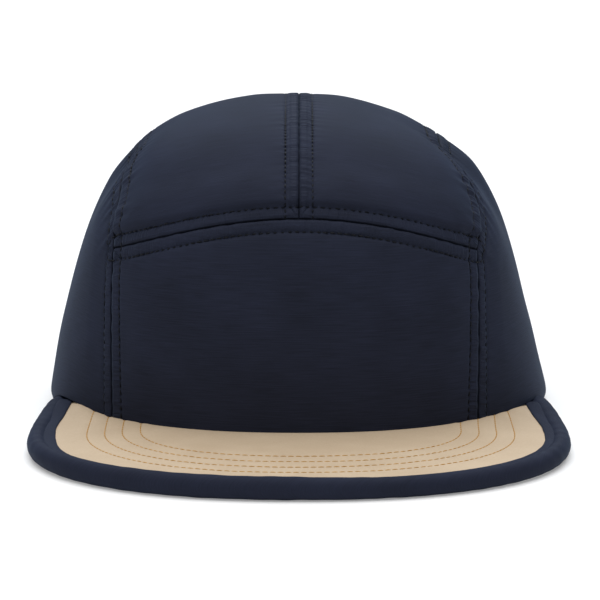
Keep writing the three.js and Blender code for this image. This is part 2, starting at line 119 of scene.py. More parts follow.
def cad_rows(node, start, along, up, facing):
    """One side of a CAD solid as rows of points. facing gives the way out at a place."""
    shell = bpy.data.objects.new(node + "_rows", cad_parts[node].data.copy())
    bpy.context.collection.objects.link(shell)
    pick_only(shell)
    bpy.ops.object.mode_set(mode="EDIT")
    bpy.ops.mesh.select_all(action="SELECT")
    bpy.ops.mesh.remove_doubles(threshold=0.002 * mm)
    bpy.ops.mesh.select_all(action="DESELECT")
    bpy.ops.mesh.select_mode(type="FACE")
    bpy.ops.object.mode_set(mode="OBJECT")
    faces = shell.data.polygons
    outermost = max(faces, key=lambda face: face.normal.dot(facing(face.center).normalized()))
    outermost.select = True
    bpy.ops.object.mode_set(mode="EDIT")
    bpy.ops.mesh.faces_select_linked_flat(sharpness=math.radians(38))
    bpy.ops.mesh.select_all(action="INVERT")
    bpy.ops.mesh.delete(type="FACE")
    bpy.ops.object.mode_set(mode="OBJECT")
    points = np.array([vertex.co[:] for vertex in shell.data.vertices])
    beside = [set() for _ in points]
    uses = {}
    for face in shell.data.polygons:
        for edge in face.edge_keys:
            uses[edge] = uses.get(edge, 0) + 1
            beside[edge[0]].add(edge[1])
            beside[edge[1]].add(edge[0])
    bpy.data.objects.remove(shell)
    rim = {}
    for edge, count in uses.items():
        if count == 1:
            rim.setdefault(edge[0], []).append(edge[1])
            rim.setdefault(edge[1], []).append(edge[0])

    def corner(place):
        return min(rim, key=lambda i: np.linalg.norm(points[i] - np.array(place) * mm))

    def walk(first, last, avoid):
        for second in rim[first]:
            path = [first, second]
            while path[-1] not in (last, avoid):
                path.append(next(i for i in rim[path[-1]] if i != path[-2]))
            if path[-1] == last:
                return path

    first, last, high = corner(start), corner(along), corner(up)
    rows = [walk(first, last, high)]
    taken = set(rows[0])
    for head in walk(first, high, last)[1:]:
        row = [head]
        taken.add(head)
        for below in rows[-1][1:]:
            (following,) = (beside[row[-1]] & beside[below]) - taken
            row.append(following)
            taken.add(following)
        rows.append(row)
    return points[np.array(rows)]


def spline_weights(knots, places):
    """Weights that read, at places, the natural cubic spline through values at knots."""
    count = len(knots)
    gaps = np.diff(knots)
    left = np.eye(count)
    right = np.zeros((count, count))
    for i in range(1, count - 1):
        before, after = gaps[i - 1], gaps[i]
        left[i, i - 1:i + 2] = before, 2 * (before + after), after
        right[i, i - 1:i + 2] = 6 / before, -6 / before - 6 / after, 6 / after
    bend = np.linalg.solve(left, right)
    i = np.clip(np.searchsorted(knots, places) - 1, 0, count - 2)
    b = (places - knots[i]) / gaps[i]
    a = 1 - b
    gap = gaps[i] ** 2 / 6
    one = np.eye(count)
    return (
        a[:, None] * one[i] + b[:, None] * one[i + 1]
        + ((a ** 3 - a) * gap)[:, None] * bend[i] + ((b ** 3 - b) * gap)[:, None] * bend[i + 1]
    )


def lengths_along(points, axis):
    """The distance from the first point of each line of a grid."""
    steps = np.linalg.norm(np.diff(points, axis=axis), axis=2)
    start = np.zeros_like(steps.take([0], axis=axis))
    return np.concatenate([start, np.cumsum(steps, axis=axis)], axis=axis)


def read_grid(grid, i, j):
    """Values between the points of a grid."""
    low_i = np.clip(i.astype(int), 0, grid.shape[0] - 2)
    low_j = np.clip(j.astype(int), 0, grid.shape[1] - 2)
    di = (i - low_i)[..., None]
    dj = (j - low_j)[..., None]
    lower = grid[low_i, low_j] * (1 - dj) + grid[low_i, low_j + 1] * dj
    upper = grid[low_i + 1, low_j] * (1 - dj) + grid[low_i + 1, low_j + 1] * dj
    return lower * (1 - di) + upper * di


def fine_surface(rows, cell):
    """A smooth surface through rows of points, as a close grid of about that cell."""
    weights = []
    for axis in (0, 1):
        spans = np.linalg.norm(np.diff(rows, axis=axis), axis=2).mean(axis=1 - axis)
        knots = np.concatenate([[0], np.cumsum(spans)])
        places = np.linspace(0, knots[-1], int(knots[-1] / cell) + 2)
        weights.append(spline_weights(knots, places))
    return np.einsum("ar,rcx,bc->abx", weights[0], rows, weights[1])


def lay_lines(surface, cells, edge_steps):
    """Points of a surface on grid lines that stay parallel to its four edges."""
    along_cells, up_cells = cells
    tables = []
    for axis, inner in ((0, up_cells), (1, along_cells)):
        run = lengths_along(surface, axis)
        run = run if axis == 0 else run.T
        shares = np.arange(1, inner) / inner
        table = []
        for line in run.T:
            reach = edge_steps[-1]
            middle = reach + (line[-1] - 2 * reach) * shares
            wanted = np.concatenate([edge_steps, middle, line[-1] - edge_steps[::-1]])
            table.append(np.interp(wanted, line, np.arange(len(line))))
        tables.append(np.array(table).T)
    up_table, along_table = tables[0], tables[1]
    row_count, column_count = len(up_table), len(along_table)
    r, k = np.meshgrid(np.arange(row_count), np.arange(column_count), indexing="ij")
    j = np.linspace(0, surface.shape[1] - 1, column_count)[None, :].repeat(row_count, 0)
    for _ in range(4):
        i = read_grid(up_table[..., None], r.astype(float), j)[..., 0]
        j = read_grid(along_table[..., None], k.astype(float), i)[..., 0]
    return read_grid(surface, i, j)


def grid_normals(points, outward):
    """The way out at each point of a grid."""
    normals = np.cross(np.gradient(points, axis=1), np.gradient(points, axis=0))
    normals /= np.linalg.norm(normals, axis=2)[..., None] + 1e-12
    return normals if (normals * outward).sum() > 0 else -normals


def run_of(line):
    """How far along a line each of its points lies."""
    return np.concatenate([[0], np.cumsum(np.linalg.norm(np.diff(line, axis=0), axis=1))])


def read_line(places, run, values):
    """Values that belong to a line's points, read at places along it."""
    return np.stack([np.interp(places, run, column) for column in values.T], axis=1)


def distance_from(points, line, step=0.1 * mm):
    """How far each point lies from a line, and how far along the line that is."""
    run = run_of(line)
    places = np.linspace(0, run[-1], int(run[-1] / step) + 2)
    close = read_line(places, run, line)
    tree = KDTree(len(close))
    for i, point in enumerate(close):
        tree.insert(point, i)
    tree.balance()
    found = [tree.find(point) for point in points.reshape(-1, 3)]
    away = np.array([hit[2] for hit in found]).reshape(points.shape[:2])
    along = places[[hit[1] for hit in found]].reshape(points.shape[:2])
    return away, along


def ripple(along, length, seed):
    """An uneven wave of about that length, between -1 and 1."""
    chance = np.random.default_rng(seed)
    waves = [
        np.sin(2 * math.pi * (along / (length * chance.uniform(0.7, 1.5)) + chance.uniform()))
        for _ in range(5)
    ]
    return sum(waves) / 3.2


def smoothstep(value, low, high):
    share = np.clip((value - low) / (high - low), 0, 1)
    return share * share * (3 - 2 * share)


def hump(distance, reach):
    """A soft hump, one high in its middle and nearly flat at twice its reach."""
    return np.exp(-((distance / reach) ** 2))


def seam_relief(away, along, seed, gathers, pull_in, bulge, fold, puckers):
    """The height of the cloth beside a seam: edge turned under, allowance, stitch groove.

    The second value is how far the panel swells out between its seams.
    """
    turned = -0.9 * mm * np.clip(1 - away / (fold * 0.36 * mm), 0, 1) ** 2
    allowance = 0.08 * mm * hump(away - 2 * mm, 1.3 * mm)
    # Each stitch pulls hardest at its middle.
    pull = 0.65 + 0.35 * np.cos(2 * math.pi * along / STITCH_PITCH)
    groove = hump(away - STITCH_REACH, 0.6 * mm * math.sqrt(pull_in))
    groove *= -0.5 * mm * pull_in * pull
    swell = 0.6 * mm * smoothstep(away, STITCH_REACH, 16 * mm)
    blown = smoothstep(away, STITCH_REACH, 6.5 * mm) * (1 - smoothstep(away, 8 * mm, 24 * mm))
    # The gathers stand in patches, and they and the puckers slant a little.
    slant = along + 0.25 * away
    between = np.clip(away / (0.9 * mm), 0, 1) * np.clip((4.6 * mm - away) / (0.8 * mm), 0, 1)
    patches = np.clip(0.5 + 0.6 * ripple(along, 30 * mm, seed), 0.15, 1)
    ladder = 0.12 * mm * gathers * ripple(slant, 2.2 * mm, seed + 1) * between * patches
    pucker = ripple(slant, 6 * mm, seed + 2) * hump(away, 7 * mm)
    pucker *= 0.16 * mm * (1 + (puckers - 1) * smoothstep(away, 0.5 * mm, STITCH_REACH))
    return turned + allowance + groove + ladder + pucker + bulge * blown, swell


def hem_relief(away, along, seed):
    """The height of the cloth beside a turned hem: a rounded edge and one row of stitches."""
    rounded = -0.45 * mm * np.clip(1 - away / (1.2 * mm), 0, 1) ** 2
    groove = -0.25 * mm * hump(away - STITCH_REACH, 0.6 * mm)
    pucker = 0.1 * mm * ripple(along + 0.2 * away, 7 * mm, seed) * hump(away, 8 * mm)
    return rounded + groove + pucker


def hem_lift(points):
    """How much higher the rim rides where it lies over the peak, fading out up the wall."""
    x, y, z = np.moveaxis(points, 2, 0)
    lift = 0.5 * mm * hump(x, 45 * mm) * (1 - smoothstep(y, -40 * mm, 0))
    lift += 1.3 * mm * smoothstep(-x, 62 * mm, 76 * mm) * (1 - smoothstep(y, -16 * mm, 12 * mm))
    return lift * (1 - smoothstep(z, 8 * mm, 34 * mm))


def cloth_piece(name, points, outward, wall=0.0, crosswise=False, beside_seams=None):
    """A piece of cloth with its vertices on a grid of points, its wall going inwards."""
    rows, columns = points.shape[:2]
    bpy.ops.object.select_all(action="DESELECT")
    bpy.ops.mesh.primitive_grid_add(x_subdivisions=columns - 1, y_subdivisions=rows - 1, size=1)
    piece = bpy.context.object
    piece.name = piece.data.name = name
    piece.data.vertices.foreach_set("co", points.reshape(-1).astype(np.float32))
    across = lengths_along(points, 1).reshape(-1)
    up = lengths_along(points, 0).reshape(-1)
    layer = piece.data.uv_layers[0]
    layer.name = "cloth"
    corners = np.zeros(len(piece.data.loops), dtype=np.int64)
    piece.data.loops.foreach_get("vertex_index", corners)
    spread = (up, across) if crosswise else (across, up)
    spread = np.stack([line[corners] for line in spread], axis=1)
    layer.data.foreach_set("uv", spread.reshape(-1).astype(np.float32))
    if beside_seams is not None:
        seam_layer = piece.data.uv_layers.new(name="seams")
        beside = beside_seams.reshape(-1, 2)[corners]
        seam_layer.data.foreach_set("uv", beside.reshape(-1).astype(np.float32))
    piece.data.update()
    normals = np.cross(points[:-1, 1:] - points[:-1, :-1], points[1:, :-1] - points[:-1, :-1])
    if (normals * outward[:-1, :-1]).sum() < 0:
        bpy.ops.object.mode_set(mode="EDIT")
        bpy.ops.mesh.select_all(action="SELECT")
        bpy.ops.mesh.flip_normals()
        bpy.ops.object.mode_set(mode="OBJECT")
    if wall:
        thicken = piece.modifiers.new("wall", "SOLIDIFY")
        thicken.thickness = wall
        thicken.offset = -1
        bpy.ops.object.modifier_apply(modifier="wall")
    places = np.array([vertex.co[:] for vertex in piece.data.vertices])
    places[:, 2] = np.maximum(places[:, 2], FLOOR_CLEARANCE)
    piece.data.vertices.foreach_set("co", places.reshape(-1).astype(np.float32))
    piece.data.update()
    bpy.ops.object.shade_smooth_by_angle(angle=math.radians(72))
    return piece


def tone(hex_colour):
    """An sRGB hex colour as linear red, green, blue and alpha."""
    parts = [int(hex_colour[i:i + 2], 16) / 255 for i in (1, 3, 5)]
    return [p / 12.92 if p <= 0.04045 else ((p + 0.055) / 1.055) ** 2.4 for p in parts] + [1]


def new_material(name):
    """A material, its node tree and the tree's main shader."""
    material = bpy.data.materials.new(name)
    material.use_nodes = True
    tree = material.node_tree
    return material, tree, tree.nodes["Principled BSDF"]


def fill_inputs(tree, node, sources, **values):
    """Feeds a node's inputs. A source is a socket, a number, or a node for its first output."""
    for key, value in values.items():
        node.inputs[key.replace("_", " ")].default_value = value
    for key, source in sources.items():
        if isinstance(source, bpy.types.Node):
            source = source.outputs[0]
        if isinstance(source, bpy.types.NodeSocket):
            tree.links.new(source, node.inputs[key])
        else:
            node.inputs[key].default_value = source


def add_node(tree, kind, settings=None, links=None, **values):
    """A node with its settings, and its inputs fed."""
    made = tree.nodes.new(kind)
    for key, value in (settings or {}).items():
        setattr(made, key, value)
    fill_inputs(tree, made, links or {}, **values)
    return made


# Nylon taffeta, dyed navy and calendered on one side. A plain weave of slightly uneven yarns
# shows as fine level slubs, with a soft bluish sheen where the light grazes it.
def nylon_taffeta(name, dark, light):
    material, tree, cloth = new_material(name)
    place = add_node(tree, "ShaderNodeUVMap", {"uv_map": "cloth"})
    long_slub = add_node(tree, "ShaderNodeMapping", links={"Vector": place}, Scale=(90, 2600, 1))
    slubs = add_node(
        tree, "ShaderNodeTexNoise", links={"Vector": long_slub}, Scale=1, Detail=3, Roughness=0.6
    )
    # The real weave has about ten yarns to a millimetre, so it is drawn four times as coarse.
    weave_place = add_node(
        tree, "ShaderNodeMapping", links={"Vector": place}, Scale=(2600, 2600, 1)
    )
    weave = add_node(
        tree, "ShaderNodeTexVoronoi", {"distance": "MANHATTAN"},
        links={"Vector": weave_place}, Scale=1, Randomness=0.35,
    )
    patches = add_node(tree, "ShaderNodeTexNoise", links={"Vector": place}, Scale=38, Detail=2)
    blend = add_node(
        tree, "ShaderNodeMath", {"operation": "MULTIPLY_ADD"},
        links={0: slubs, 1: 1.6, 2: patches},
    )
    share = add_node(
        tree, "ShaderNodeMapRange", links={"Value": blend}, From_Min=0.9, From_Max=1.75
    )
    colour = add_node(
        tree, "ShaderNodeMix", {"data_type": "RGBA"},
        links={"Factor": share}, A=tone(dark), B=tone(light),
    )
    height = add_node(
        tree, "ShaderNodeMath", {"operation": "MULTIPLY_ADD"}, links={0: weave, 1: 0.35, 2: slubs}
    )
    bump = add_node(
        tree, "ShaderNodeBump", links={"Height": height}, Strength=0.55, Distance=0.05 * mm
    )
    # The thread gathers the allowances into small uneven rungs, about 1.5 mm apart.
    beside_seams = add_node(tree, "ShaderNodeUVMap", {"uv_map": "seams"})
    rung_place = add_node(
        tree, "ShaderNodeMapping", links={"Vector": beside_seams}, Scale=(1000, 70, 1)
    )
    rungs = add_node(tree, "ShaderNodeTexNoise", links={"Vector": rung_place}, Scale=1, Detail=1)
    apart = add_node(tree, "ShaderNodeSeparateXYZ", links={"Vector": beside_seams})
    rising = add_node(
        tree, "ShaderNodeMapRange", links={"Value": apart.outputs["Y"]},
        From_Min=0.4 * mm, From_Max=1.1 * mm,
    )
    falling = add_node(
        tree, "ShaderNodeMapRange", links={"Value": apart.outputs["Y"]},
        From_Min=5 * mm, From_Max=3.8 * mm,
    )
    between = add_node(
        tree, "ShaderNodeMath", {"operation": "MULTIPLY"}, links={0: rising, 1: falling}
    )
    rung_height = add_node(
        tree, "ShaderNodeMath", {"operation": "MULTIPLY"}, links={0: rungs, 1: between}
    )
    gathered = add_node(
        tree, "ShaderNodeBump",
        links={"Height": rung_height, "Normal": bump},
        Strength=0.9, Distance=0.6 * mm,
    )
    # The base colour is darkened at the bottom of each seam: painted shade, for the shade that the
    # two folded edges cast there. Pieces without a seams map read zero there, and stay as they
    # are.
    shade = add_node(
        tree, "ShaderNodeMapRange", links={"Value": apart.outputs["Y"]},
        From_Min=0.1 * mm, From_Max=0.36 * mm, To_Min=0.25,
    )
    without_seams = add_node(
        tree, "ShaderNodeMath", {"operation": "LESS_THAN"}, links={0: apart.outputs["X"], 1: 0.5}
    )
    shaded = add_node(
        tree, "ShaderNodeMath", {"operation": "MAXIMUM"}, links={0: shade, 1: without_seams}
    )
    # The slub colour times the painted seam shade.
    colour_with_painted_seam_shade = add_node(
        tree, "ShaderNodeVectorMath", {"operation": "SCALE"},
        links={0: colour.outputs["Result"], "Scale": shaded},
    )
    fill_inputs(
        tree, cloth, {"Base Color": colour_with_painted_seam_shade, "Normal": gathered},
        Roughness=0.6, IOR=1.5, Specular_IOR_Level=0.015,
        Sheen_Weight=0.05, Sheen_Roughness=0.35, Sheen_Tint=(0.36, 0.6, 1, 1),
    )
    return material


taffeta = nylon_taffeta("navy_nylon_taffeta", "#232631", "#2c3040")
panels = {}

for number, (node, cut) in enumerate(PANELS.items()):
    rows = cad_rows(
        node, cut["start"], cut["along"], cut["up"], lambda place: place - CROWN_MIDDLE
    )
    surface = fine_surface(rows, 0.5 * mm)
    points = lay_lines(surface, cut["cells"], EDGE_STEPS)
    outward = grid_normals(points, points - np.array(CROWN_MIDDLE))
    edges = {
        "bottom": surface[0], "top": surface[-1], "start": surface[:, 0], "end": surface[:, -1]
    }
    relief = np.zeros(points.shape[:2])
    swells = []
    away = {}
    beside_seams = np.full((*points.shape[:2], 2), 1.0)
    for edge_number, (edge, line) in enumerate(edges.items()):
        seed = number * 20 + edge_number * 5
        away[edge], run = distance_from(points, line)
        if edge in cut["seams"]:
            fold = TIGHT_FOLD if edge == cut.get("tight") else 1
            # The seams map holds the distance to the nearest seam, which the taffeta reads for its
            # rungs and its painted seam shade; a tight fold scales it up, so that both lie closer
            # to the seam.
            here = np.stack([run + edge_number + 1, away[edge] / fold], axis=2)
            nearer = away[edge][..., None] < beside_seams[..., 1:]
            beside_seams = np.where(nearer, here, beside_seams)
            beside_seam, swell = seam_relief(
                away[edge], run, seed, cut.get("gathers", PLAIN_GATHERS),
                PULLED_IN if edge == cut.get("pulled_in") else 1,
                BLOWN_UP if edge == cut.get("blown_up") else 0, fold,
                PUCKERED if edge == cut.get("puckered") else 1,
            )
            relief += beside_seam
            swells.append(swell)
        elif edge == "end":
            relief += hem_relief(away[edge], run, seed)
    columns = points.swapaxes(0, 1)
    for edge, lines, rim, inner in (
        ("bottom", points, 0, 1), ("top", points, -1, -2),
        ("start", columns, 0, 1), ("end", columns, -1, -2),
    ):
        if edge in cut["seams"]:
            out = lines[rim] - lines[inner]
            lines[rim] += out / np.linalg.norm(out, axis=1)[:, None] * SEAM_OVERLAP
    relief += np.min(swells, axis=0) * smoothstep(points[..., 2], 8 * mm, 30 * mm)
    points = points + outward * relief[..., None]
    points[..., 2] += hem_lift(points)
    piece = cloth_piece(
        node + "_cloth", points, outward, cut["wall"], cut.get("crosswise"), beside_seams
    )
    piece.data.materials.append(taffeta)
    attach(piece, "root")
    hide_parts(node)
    panels[node] = {"points": points, "outward": outward, "away": away}


# Topstitching of the crown
# Bonded polyester thread in the cloth's own navy, a lockstitch of about ten to the inch, sunk
# into the taffeta beside each seam and round the arch at the back.

STITCH_SEARCH = 30             # grid lines from an edge inwards, past its row of stitches


def stitch_line(panel, edge, reach):
    """The path of a row of stitches at that distance from an edge, and the way out along it."""
    points, outward, away = panel["points"], panel["outward"], panel["away"][edge]
    if edge in ("start", "end"):
        points, outward, away = points.swapaxes(0, 1), outward.swapaxes(0, 1), away.T
    if edge in ("top", "end"):
        points, outward, away = points[::-1], outward[::-1], away[::-1]
    path, way_out = [], []
    for column in range(points.shape[1]):
        at = np.interp(reach, away[:STITCH_SEARCH, column], np.arange(STITCH_SEARCH))
        low = int(at)
        path.append(points[low, column] * (low + 1 - at) + points[low + 1, column] * (at - low))
        way_out.append(outward[low, column])
    return np.array(path), np.array(way_out)


def sew_row(path, way_out, pitch, length, thickness, raised, sides=8, rings=5):
    """Places and faces of the stitches of one row: short bent capsules of thread."""
    run = run_of(path)
    count = max(int((run[-1] - 0.6 * pitch) / pitch), 1)
    middles = (np.arange(count) + 0.5) * (run[-1] / count)
    heads = read_line(middles + length / 2, run, path)
    forward = heads - read_line(middles - length / 2, run, path)
    forward /= np.linalg.norm(forward, axis=1)[:, None]
    upward = read_line(middles, run, way_out)
    upward -= forward * (upward * forward).sum(axis=1)[:, None]
    upward /= np.linalg.norm(upward, axis=1)[:, None]
    aside = np.cross(upward, forward)
    turns = np.linspace(0, math.pi, rings + 1)[1:-1]
    angles = np.arange(sides) * 2 * math.pi / sides
    shape = [(-length / 2, 0, 0)]
    for turn in turns:
        across = thickness / 2 * math.sin(turn) ** 0.55
        for angle in angles:
            shape.append((
                -length / 2 * math.cos(turn), across * math.cos(angle), across * math.sin(angle)
            ))
    shape.append((length / 2, 0, 0))
    shape = np.array(shape)
    shape[:, 2] += raised - 0.3 * thickness * (shape[:, 0] / (length / 2)) ** 2
    places = (
        read_line(middles, run, path)[:, None, :]
        + shape[None, :, 0:1] * forward[:, None, :]
        + shape[None, :, 1:2] * aside[:, None, :]
        + shape[None, :, 2:3] * upward[:, None, :]
    )
    last = len(shape) - 1
    faces = []
    for side in range(sides):
        other = (side + 1) % sides
        faces.append((0, 1 + other, 1 + side))
        for ring in range(rings - 2):
            low, high = 1 + ring * sides, 1 + (ring + 1) * sides
            faces.append((low + side, low + other, high + other, high + side))
        low = 1 + (rings - 2) * sides
        faces.append((low + side, low + other, last))
    return places.reshape(-1, 3), faces, len(shape), count


def thread_piece(name, rows, material, slot, **size):
    """All the rows of stitches that are sewn with one thread, as one piece."""
    places, faces, start = [], [], 0
    for path, way_out in rows:
        points, shape, corners, count = sew_row(path, way_out, **size)
        places.append(points)
        for copy in range(count):
            faces += [[i + start + copy * corners for i in face] for face in shape]
        start += corners * count
    mesh = bpy.data.meshes.new(name)
    mesh.from_pydata(np.concatenate(places).tolist(), [], faces)
    piece = bpy.data.objects.new(name, mesh)
    bpy.context.collection.objects.link(piece)
    pick_only(piece)
    bpy.ops.object.mode_set(mode="EDIT")
    bpy.ops.mesh.select_all(action="SELECT")
    bpy.ops.mesh.normals_make_consistent(inside=False)
    bpy.ops.object.mode_set(mode="OBJECT")
    bpy.ops.object.shade_smooth()
    mesh.materials.append(material)
    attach(piece, "root")


# Bonded polyester sewing thread, twisted and waxed: low gloss, with the twist seen as faint
# slanting ridges along each stitch.
def polyester_thread(name, colour, roughness):
    material, tree, thread = new_material(name)
    place = add_node(tree, "ShaderNodeTexCoord")
    twist = add_node(
        tree, "ShaderNodeTexWave", {"bands_direction": "DIAGONAL"},
        links={"Vector": place.outputs["Object"]}, Scale=900, Distortion=0.6,
    )
    bump = add_node(
        tree, "ShaderNodeBump", links={"Height": twist.outputs["Fac"]},
        Strength=0.6, Distance=0.04 * mm,
    )
    shade = add_node(
        tree, "ShaderNodeTexNoise", links={"Vector": place.outputs["Object"]}, Scale=240
    )
    mix = add_node(
        tree, "ShaderNodeMix", {"data_type": "RGBA"}, links={"Factor": shade},
        A=[part * 0.8 for part in tone(colour)[:3]] + [1],
        B=[part * 1.2 for part in tone(colour)[:3]] + [1],
    )
    fill_inputs(
        tree, thread, {"Base Color": mix.outputs["Result"], "Normal": bump},
        Roughness=roughness, IOR=1.5, Specular_IOR_Level=0.15,
    )
    return material


navy_thread = polyester_thread("navy_polyester_thread", "#0d1018", 0.6)
seam_rows = [
    stitch_line(panels[node], edge, STITCH_REACH)
    for node, cut in PANELS.items()
    for edge in dict.fromkeys((*cut["seams"], "end"))
]
thread_piece(
    "crown_topstitch", seam_rows, navy_thread, "navy_cloth",
    pitch=STITCH_PITCH, length=1.9 * mm, thickness=0.58 * mm, raised=0.05 * mm,
)


# Sweatband
# A folded strip of soft cotton twill sewn in round the inside of the rim. It shows only from
# below and through the arch, and stops on either side of the strap.

BAND_FOOT = 0.7 * mm
BAND_WALL = 1.1 * mm
BAND_STITCH_REACH = 3 * mm

band_rows = cad_rows(
    "sweatband", (-51, 104.3, 0.6), (51.5, 103.6, 0.6), (-51.1, 104.6, 32.4),
    lambda place: Vector((-place.x, CROWN_MIDDLE.y - place.y, 0)),
)
band_surface = fine_surface(band_rows, 0.6 * mm)
band_points = lay_lines(band_surface, (240, 12), EDGE_STEPS)
band_inward = grid_normals(band_points, np.array(CROWN_MIDDLE) - band_points)
band_away = {}
band_away["bottom"], band_run = distance_from(band_points, band_surface[0], 0.2 * mm)
band_away["top"], _ = distance_from(band_points, band_surface[-1], 0.2 * mm)
band_relief = 0.18 * mm * ripple(band_run + 0.3 * band_away["bottom"], 16 * mm, 300)
band_relief *= np.clip(band_away["bottom"] / (8 * mm), 0, 1)
for band_edge in ("bottom", "top"):
    band_relief -= 0.4 * mm * np.clip(1 - band_away[band_edge] / (1.2 * mm), 0, 1) ** 2
    band_relief -= 0.2 * mm * hump(band_away[band_edge] - BAND_STITCH_REACH, 0.7 * mm)
band_points = band_points + band_inward * band_relief[..., None]
band_foot, band_head = band_points[:1, :, 2], band_points[-1:, :, 2]
band_share = (band_points[..., 2] - band_foot) / (band_head - band_foot)
band_points[..., 2] = BAND_FOOT + (band_head - BAND_FOOT) * band_share
band = cloth_piece("sweatband_twill", band_points, band_inward, BAND_WALL)


# Cotton drill, piece dyed navy. Its twill lines climb at 45 degrees, a millimetre apart here
# although the real ones are half that, so that they show.
def cotton_twill(name, dark, light):
    material, tree, cloth = new_material(name)
    place = add_node(tree, "ShaderNodeUVMap", {"uv_map": "cloth"})
    twill_place = add_node(
        tree, "ShaderNodeMapping", links={"Vector": place},
        Rotation=(0, 0, math.radians(45)), Scale=(1000, 200, 1),
    )
    twill = add_node(
        tree, "ShaderNodeTexWave", links={"Vector": twill_place},
        Scale=0.314, Distortion=1.2, Detail=1,
    )
    fuzz = add_node(tree, "ShaderNodeTexNoise", links={"Vector": place}, Scale=900, Detail=3)
    colour = add_node(
        tree, "ShaderNodeMix", {"data_type": "RGBA"}, links={"Factor": fuzz},
        A=tone(dark), B=tone(light),
    )
    height = add_node(
        tree, "ShaderNodeMath", {"operation": "ADD"}, links={0: twill.outputs["Fac"], 1: fuzz}
    )
    bump = add_node(
        tree, "ShaderNodeBump", links={"Height": height}, Strength=0.5, Distance=0.08 * mm
    )
    fill_inputs(
        tree, cloth, {"Base Color": colour.outputs["Result"], "Normal": bump},
        Roughness=0.85, IOR=1.5, Specular_IOR_Level=0.25,
    )
    return material


band.data.materials.append(cotton_twill("navy_cotton_drill", "#191c26", "#262b38"))
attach(band, "root")
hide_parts("sweatband")
band_panel = {"points": band_points, "outward": band_inward, "away": band_away}
thread_piece(
    "sweatband_stitching",
    [stitch_line(band_panel, edge, BAND_STITCH_REACH) for edge in ("bottom", "top")],
    navy_thread, "navy_cloth",
    pitch=2.8 * mm, length=2.1 * mm, thickness=0.45 * mm, raised=0.08 * mm,
)


# Peak cover and its stitching
# Smooth tan twill drawn over the peak board and sewn down to it by four rows of golden brown
# thread that follow the peak's edge and run back under the crown.

COVER_WALL = 0.9 * mm
COVER_CELL = 0.7 * mm

# Each row's widest half widths on the left and right, its reach in front, and how far out it
# meets the rim on the left and on the right, in millimetres.
PEAK_ROWS = [
    {"wide": (69, 70.2), "front": -114.2, "left": 67.6, "right": 69},
    {"wide": (63.2, 64.3), "front": -107.5, "left": 62.6, "right": 64.7},
    {"wide": (57.5, 58.6), "front": -100.8, "left": 57.2, "right": 59},
    {"wide": (51.6, 52.8), "front": -94.1, "left": 51.8, "right": 53},
]
PEAK_WIDEST_AT = -54.7
PEAK_ROW_SQUARENESS = 2.2

# The round of the crown's rim over the peak, in millimetres.
CROWN_WIDEST_AT = 31.3
CROWN_HALF_WIDTH = 85
CROWN_FRONT_REACH = 97
CROWN_SQUARENESS = 2.1


def rim_front(x):
    """How far in front the crown's rim stands at a distance x to the side, in millimetres."""
    share = (abs(x) / CROWN_HALF_WIDTH) ** CROWN_SQUARENESS
    return CROWN_WIDEST_AT - CROWN_FRONT_REACH * (1 - share) ** (1 / CROWN_SQUARENESS)


def peak_row_plan(row, inside=2.5, steps=240):
    """One stitch row seen from above, from under the rim on the left to the right."""
    turn = np.linspace(math.pi, 0, steps)
    power = 2 / PEAK_ROW_SQUARENESS
    wide = np.where(np.cos(turn) < 0, *row["wide"])
    x = wide * np.sign(np.cos(turn)) * np.abs(np.cos(turn)) ** power
    y = PEAK_WIDEST_AT - (PEAK_WIDEST_AT - row["front"]) * np.sin(turn) ** power
    plan = np.stack([x, y], axis=1)
    shares = np.linspace(0, 1, 30)[:-1, None]
    ease = 1 - (1 - shares) ** 2
    tails = []
    for x, tip in ((-row["left"], plan[0]), (row["right"], plan[-1])):
        under_rim = np.array([x, rim_front(x) + inside])
        tail = under_rim * (1 - ease) + tip * ease
        tail[:, 1:] = under_rim[1] * (1 - shares) + tip[1] * shares
        tails.append(tail)
    return np.concatenate([tails[0], plan, tails[1][::-1]]) * mm


def plan_distance(points, plans):
    """How far each point lies, seen from above, from the nearest of some plan lines."""
    flat = [np.append(plan, np.zeros((len(plan), 1)), axis=1) for plan in plans]
    level = points * np.array([1, 1, 0])
    return np.min([distance_from(level, line, 0.2 * mm)[0] for line in flat], axis=0)


peak_plans = [peak_row_plan(row) for row in PEAK_ROWS]
cover_rows = cad_rows(
    "peak_cover", (-77.1, -7.8, 5.4), (76.8, -7.6, 5.4), (-78.3, -8.1, 5.4),
    lambda place: Vector((0, 0, 1)),
)
cover_points = fine_surface(cover_rows, COVER_CELL)
cover_up = grid_normals(cover_points, np.array([0, 0, 1]))
rim_line = np.concatenate([
    panels["side_panel_left"]["points"][0][::-1],
    panels["front_panel"]["points"][0],
    panels["side_panel_right"]["points"][0],
])
level = np.array([1, 1, 0])
rim_away, rim_run = distance_from(cover_points * level, rim_line * level, 0.2 * mm)
rim_height = np.interp(rim_run, run_of(rim_line * level), rim_line[:, 2])
from_root = np.arange(len(cover_points))[:, None] * COVER_CELL
rim_away = np.where(from_root < 2 * mm, 0, rim_away)
# The cover rises to meet the rim where that rides a little higher, less so at its corners.
short = np.maximum(rim_height + 0.15 * mm - cover_points[..., 2], 0)
short *= 1 - 0.6 * smoothstep(np.abs(cover_points[..., 0]), 72 * mm, 79 * mm)
cover_points[..., 2] += short * hump(rim_away, 7 * mm)
row_away = plan_distance(cover_points, peak_plans)
cover_relief = -0.16 * mm * hump(row_away, 0.7 * mm)
cover_relief += 0.07 * mm * hump(row_away - 2.2 * mm, 1.2 * mm)
cover_points = cover_points + cover_up * cover_relief[..., None]
cover = cloth_piece("peak_cover_cloth", cover_points, cover_up, COVER_WALL)


